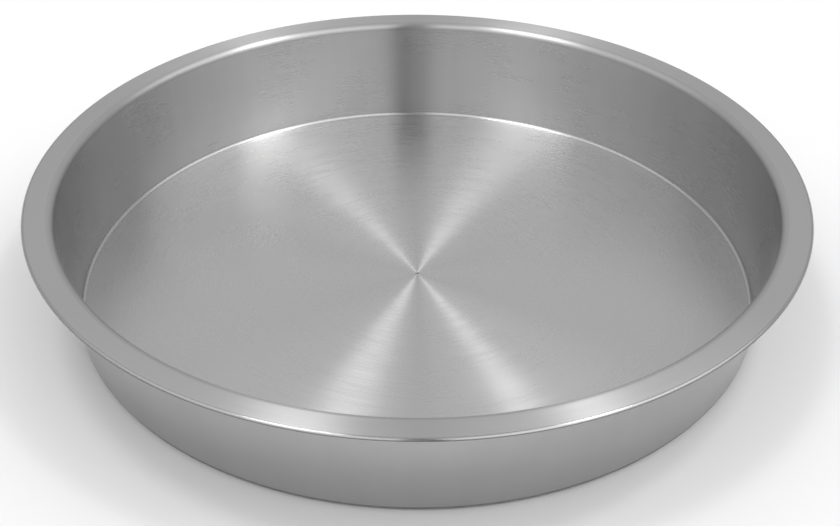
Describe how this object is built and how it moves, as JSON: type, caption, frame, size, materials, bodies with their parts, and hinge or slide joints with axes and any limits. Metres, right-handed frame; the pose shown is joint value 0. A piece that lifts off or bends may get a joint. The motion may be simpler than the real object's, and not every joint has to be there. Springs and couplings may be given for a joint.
{
  "type": "round food pan",
  "caption": "Shallow round food pan of thin sheet steel, with a flat floor, a slightly tapered wall and a flat rim that it hangs by in a chafing dish.",
  "frame": {"origin": "on the pan's axis, at the underside of its base", "axes": "+Z along the pan's axis, up out of its mouth; +X and +Y lie in the plane of the base, in any direction, because the pan is round"},
  "size_m": [0.394, 0.394, 0.06],
  "materials": {
    "steel": "satin stainless steel with a fine circular grain from spinning"
  },
  "bodies": {
    "root": {"pan": "steel"}
  },
  "joints": []
}
